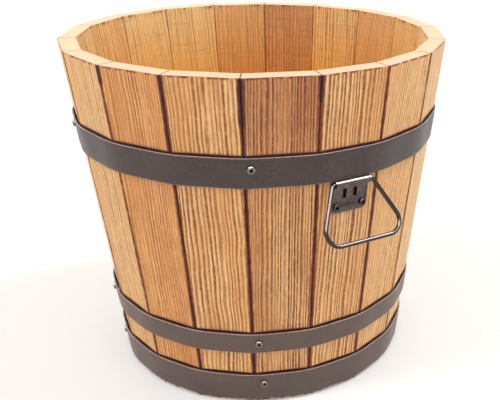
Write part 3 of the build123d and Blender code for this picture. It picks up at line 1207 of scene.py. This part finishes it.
BOARDS = [
    Board(STRIPED, Cut.QUARTER_LEFT, 4.4, 0.25, 4.0),
    Board(HONEY, Cut.RIFT_RIGHT, 3.0, 0.1, 20.0),
    Board(PALE, Cut.QUARTER_LEFT, 3.6, 0.2, 6.0),
    Board(GOLD, Cut.FLAT, 3.2, 0.1, 12.0),
    Board(AMBER, Cut.QUARTER_RIGHT, 3.4, 0.2, 4.0),
    Board(ROSY, Cut.RIFT_LEFT, 3.4, 0.1, -8.0),
    Board(AMBER, Cut.QUARTER_LEFT, 4.4, 0.3, 6.0),
    Board(RUSSET, Cut.QUARTER_RIGHT, 3.6, 0.0, 3.0),
    Board(ROSY, Cut.QUARTER_RIGHT, 4.4, 0.2, -4.0),
    Board(GOLD, Cut.QUARTER_LEFT, 3.6, 0.2, 6.0),
    Board(GOLD, Cut.RIFT_RIGHT, 3.8, 0.1, 14.0),
    Board(AMBER, Cut.RIFT_LEFT, 3.2, 0.1, 8.0),
    Board(PALE, Cut.FLAT, 3.0, 0.1, 10.0),
    Board(HONEY, Cut.QUARTER_LEFT, 3.4, 0.2, 4.0),
    Board(HONEY, Cut.RIFT_RIGHT, 2.8, 0.1, 14.0),
    Board(ROSY, Cut.RIFT_LEFT, 2.8, 0.0, 10.0),
    Board(STRIPED, Cut.QUARTER_LEFT, 4.2, 0.3, 3.0, 3.2),
    Board(BROWN, Cut.QUARTER_RIGHT, 3.4, 0.1, 5.0, 2.0),
]

# Groove at the left of each stave, from the front one round.
JOINTS = [
    JointStain(1.15, 0.78, 27.0, 0.5), JointStain(0.66, 0.76, 30.0), JointStain(0.6, 0.5, 40.0),
    *[JointStain(0.6, 0.55, 40.0)] * 11,
    JointStain(0.6, 0.5), JointStain(1.15, 0.45, 22.0, 0.6), JointStain(0.9, 0.8, 90.0, 0.5),
    JointStain(1.2, 0.82, 52.0, 0.7),
]

# One satin paint in three copies: the top hoop's darker and more purple as painted shade, the two below
# lighter as painted reflection of the lit floor.
SHADED_TOP_PAINT = SatinPaint("satin_paint_top_hoop_shaded", "#30211f", "#3b2c29")
LIT_LOWER_PAINT = SatinPaint("satin_paint_lower_hoop_lit", "#54423b", "#5e4b44")
LIT_BOTTOM_PAINT = SatinPaint("satin_paint_bottom_hoop_lit", "#503f3a", "#594741")
# Smooth bright wire, a smeared plate, screws whose recesses are painted black as dirt and painted shade, and
# dull rivets.
WIRE = BlackedSteel("blacked_steel_wire", "#433e3c", wear=0.05, roughness=0.08)
PLATE = BlackedSteel("blacked_steel_plate", "#5a504d", "#a09894", wear=0.45, roughness=0.16)
SCREW = BlackedSteel("blacked_steel_screws", "#77716d", "#e9e4de", wear=0.5, roughness=0.2, dirt_and_shade=0.97)
PLATE_SCREW = BlackedSteel("blacked_steel_plate_screws", "#46403e", "#c9c2bb", roughness=0.18, dirt_and_shade=0.97)
RIVETS = BlackedSteel("blacked_steel_rivets", "#575150", "#a39b95", wear=0.4, roughness=0.35)

HOOPS = [
    Hoop("hoop_top", 6.4, 22.0, SHADED_TOP_PAINT),
    Hoop("hoop_lower", 6.4, 20.0, LIT_LOWER_PAINT),
    Hoop("hoop_bottom", 10.5, 30.0, LIT_BOTTOM_PAINT),
]


@dataclass
class Tub:
    """The whole tub: staves, bottom boards, hoops with their screws and rivets, handles."""

    wall: Wall
    hoops: list[Hoop]
    screw_drop: float = 11.6  # of a hoop's screws, from its top edge
    rivet_spacing: float = 20.0
    plate_screw_spacing: float = 32.0
    plate_screw_drop: float = 28.0
    plate_thickness: float = 1.6
    knuckle_radius: float = 4.08

    @property
    def opposite(self) -> int:
        """Number of the stave opposite the front one."""
        return self.wall.stave_count // 2

    def keep(self, piece: bpy.types.Object, material: bpy.types.Material, body: str,
             node: str) -> None:
        """Dress a new piece and put it in the place of its CAD node.

        Args:
            piece: the new piece.
            material: its finish.
            body: the body that it rides on.
            node: the CAD node that it stands for.
        """
        piece.data.materials.clear()
        piece.data.materials.append(material)
        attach(piece, body)
        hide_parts(node)
        log.info("%s: %d faces", piece.name, len(piece.data.polygons))

    def dress(self, node: str, material: bpy.types.Material) -> None:
        """Give a CAD node its finish."""
        mesh = frame["nodes"][node].data
        mesh.materials.clear()
        mesh.materials.append(material)
        log.info("%s: CAD node with %s", node, material.name)

    def build_staves(self) -> None:
        """Make the 18 staves, each with its own board."""
        woods = {board.wood.name: board.wood.material() for board in BOARDS}
        for number, board in enumerate(BOARDS):
            right = JOINTS[(number + 1) % len(JOINTS)]
            stave = Stave(self.wall, self.hoops, number, board, JOINTS[number], right)
            self.keep(stave.build(), woods[board.wood.name], "tub", f"stave_{number + 1:02d}")

    def dress_bottom(self) -> None:
        """Finish the bottom boards."""
        wood = SAWN.material(attributes=False)
        for node in sorted(n for n in frame["nodes"] if n.startswith("bottom_board")):
            self.dress(node, wood)

    def screw_places(self, hoop: Hoop) -> list[Array]:
        """Frames of a hoop's four screws, seated on the strip."""
        level = hoop.levels[1] - self.screw_drop
        left = -self.wall.apothem(level) * np.tan(self.wall.half_turn)
        places = [(start + step, left + inset) for start in (0, self.opposite)
                  for step, inset in ((-1, hoop.near_inset), (-5, hoop.far_inset))]
        lift = HOOP_GAP + HOOP_THICKNESS
        return [self.wall.place(number, level, along, lift) for number, along in places]

    def build_hoops(self) -> None:
        """Make the hoops, their screws and their rivets."""
        steel = SCREW.material()
        twists = np.random.default_rng(Seed.TWIST).uniform(0, np.pi / 2, 16)
        rivets = Shell()
        for index, hoop in enumerate(self.hoops):
            strap = Strap(self.wall, hoop)
            self.keep(strap.build(), hoop.paint.material(), "tub", hoop.node)
            screws = Shell()
            for turn, place in enumerate(self.screw_places(hoop)):
                ScrewHead().add(screws, place, twists[4 * index + turn])
            self.keep(screws.build(f"pan_heads_{hoop.node}"), steel, "tub", f"{hoop.node}_screws")
            for side in (-1, 1):
                place = self.wall.place(strap.lap_stave, sum(hoop.levels) / 2, side * self.rivet_spacing / 2,
                                        HOOP_GAP + 2 * HOOP_THICKNESS)
                Rivet().add(rivets, place, 10 * index + side + 2)
        self.keep(rivets.build("domed_rivets"), RIVETS.material(), "tub", "hoop_rivets")

    def build_handles(self) -> None:
        """Make the bails and the plate screws, and finish the plates."""
        wire, plate, steel = WIRE.material(), PLATE.material(), PLATE_SCREW.material()
        hinge_level = heights("handle_plate_front")[1] - self.knuckle_radius
        for side, number in (("front", 0), ("back", self.opposite)):
            bail = Bail(self.wall, number, f"{side}_bail_swing")
            self.keep(bail.build(f"wire_bail_{side}"), wire, f"{side}_bail",
                      f"handle_bail_{side}")
            self.dress(f"handle_plate_{side}", plate)
            screws = Shell()
            for half in (-1, 1):
                across = PLATE_SHIFT + half * self.plate_screw_spacing / 2
                place = self.wall.place(number, hinge_level, across, self.plate_thickness)
                place[3] -= self.plate_screw_drop * place[1]
                ScrewHead().add(screws, place, 0.6 + half)
            self.keep(screws.build(f"pan_heads_handle_{side}"), steel, "tub",
                      f"handle_screws_{side}")

    def build(self) -> None:
        """Build and dress every piece."""
        self.build_staves()
        self.dress_bottom()
        self.build_hoops()
        self.build_handles()


# Studio


@dataclass(frozen=True)
class Studio:
    """White floor and sky, two soft lamps, and the camera of the picture."""

    heading: float = -32.142  # degrees round the tub, of the camera's right
    elevation: float = 22.644
    roll: float = 0.631
    distance: float = 954.6
    aside: float = 102.65
    lift: float = -198.07
    lens: float = 58.0
    sensor: float = 36.0
    shift: float = -0.18
    sky: float = 0.77
    panels: float = 11.0
    panel_foot: tuple = (0.52, 0.62)  # sines of elevation between which the panels set in
    panel_top: tuple = (0.86, 0.94)  # and between which they end
    keys: tuple = ((-98.0, 52.0, 0.65), (64.0, 56.0, 0.85))  # heading, elevation and strength
    key_size: float = 14.0
    floor_half: float = 12000.0
    floor_glow: float = 0.16

    def seen(self, graph: Graph) -> Socket:
        """1 for rays that show the background: camera, glossy and transmission rays."""
        camera = add_node(graph.tree, "ShaderNodeLightPath", "Is Camera Ray", {})
        outputs = camera.node.outputs
        either = graph.math("MAXIMUM", camera, outputs["Is Glossy Ray"])
        return graph.math("MAXIMUM", either, outputs["Is Transmission Ray"])

    def add_floor(self) -> None:
        """Pale floor that keeps the tub's shadow and shows white where it is lit."""
        h = self.floor_half * METRES
        mesh = bpy.data.meshes.new("studio_floor")
        mesh.from_pydata([(-h, -h, 0), (h, -h, 0), (h, h, 0), (-h, h, 0)], [], [(0, 1, 2, 3)])
        floor = bpy.data.objects.new("studio_floor", mesh)
        bpy.context.scene.collection.objects.link(floor)
        # Matt white paint that glows faintly to the eye, though not onto the tub.
        graph, made = Graph.of_material("matt_white_floor")
        lift = graph.math("MULTIPLY", self.seen(graph), self.floor_glow)
        glow = add_node(graph.tree, "ShaderNodeEmission", 0, {"Color": linear("#ffffff"), "Strength": lift})
        paint = add_node(graph.tree, "ShaderNodeBsdfDiffuse", 0, {"Color": linear("#f4f3f1")})
        both = add_node(graph.tree, "ShaderNodeAddShader", 0, {0: glow, 1: paint})
        add_node(graph.tree, "ShaderNodeOutputMaterial", 0, {"Surface": both})
        mesh.materials.append(made)

    def add_sky(self) -> None:
        """White sky, plain for diffuse light, with a bright row of panels in reflections."""
        world = bpy.data.worlds.new("studio_sky")
        bpy.context.scene.world = world
        world.use_nodes = True
        graph = Graph(world.node_tree)
        graph.tree.nodes.clear()
        plain = graph.spread(self.seen(graph), start=self.sky, end=1.0)
        # The panels stand some 35 to 65 degrees up.
        level = add_node(graph.tree, "ShaderNodeSeparateXYZ", 2, {0: graph.coordinates("Generated")})
        panels = graph.math(
            "MULTIPLY", graph.spread(level, *self.panel_foot, 0.0, self.panels, smooth=True),
            graph.spread(level, *self.panel_top, 1.0, 0.0, smooth=True))
        mirrored = add_node(graph.tree, "ShaderNodeLightPath", "Is Glossy Ray", {})
        strength = graph.math("MULTIPLY_ADD", panels, mirrored, plain)
        sky = add_node(graph.tree, "ShaderNodeBackground", 0, {
            "Color": linear("#ffffff"), "Strength": strength})
        add_node(graph.tree, "ShaderNodeOutputWorld", 0, {"Surface": sky})

    def add_lamps(self) -> None:
        """Softbox lamp on either side."""
        for number, (heading, elevation, strength) in enumerate(self.keys):
            lamp = bpy.data.lights.new(f"softbox_{number}", "SUN")
            lamp.energy = strength
            lamp.angle = np.radians(self.key_size)
            key = bpy.data.objects.new(f"softbox_{number}", lamp)
            key.rotation_euler = (np.radians(90 - elevation), 0, np.radians(heading))
            bpy.context.scene.collection.objects.link(key)

    def add_camera(self, rim: float) -> None:
        """Camera at the picture's viewing angle.

        Its axes are turned round the tub by the heading, tipped by the elevation and
        rolled. It stands off the middle of the rim along those axes.

        Args:
            rim: level of the tub's rim.
        """
        e, r, a = np.radians([self.elevation, self.roll, self.heading])
        right = np.array([1.0, 0, 0])
        back = np.array([0, -np.cos(e), np.sin(e)])
        up = np.array([0, np.sin(e), np.cos(e)])
        place = spin(a) @ (back * self.distance + right * self.aside + up * self.lift) + (0, 0, rim)
        axes = (right * np.cos(r) + up * np.sin(r), up * np.cos(r) - right * np.sin(r), back)
        lens = bpy.data.cameras.new("picture_camera")
        lens.lens, lens.sensor_width, lens.shift_x = self.lens, self.sensor, self.shift
        camera = bpy.data.objects.new("picture_camera", lens)
        bpy.context.scene.collection.objects.link(camera)
        matrix = np.eye(4)
        matrix[:3, :3] = spin(a) @ np.stack(axes, -1)
        matrix[:3, 3] = place * METRES
        camera.matrix_world = Matrix(matrix.tolist())
        bpy.context.scene.camera = camera

    def build(self, rim: float) -> None:
        """Set the floor, the light, the camera and a plain view."""
        self.add_floor()
        self.add_sky()
        self.add_lamps()
        self.add_camera(rim)
        bpy.context.scene.view_settings.view_transform = "Standard"


def main() -> None:
    """Build the tub and its studio, and report each piece."""
    wall = Wall.from_frame()
    Tub(wall, HOOPS).build()
    Studio().build(wall.height)


if __name__ == "__main__":
    main()
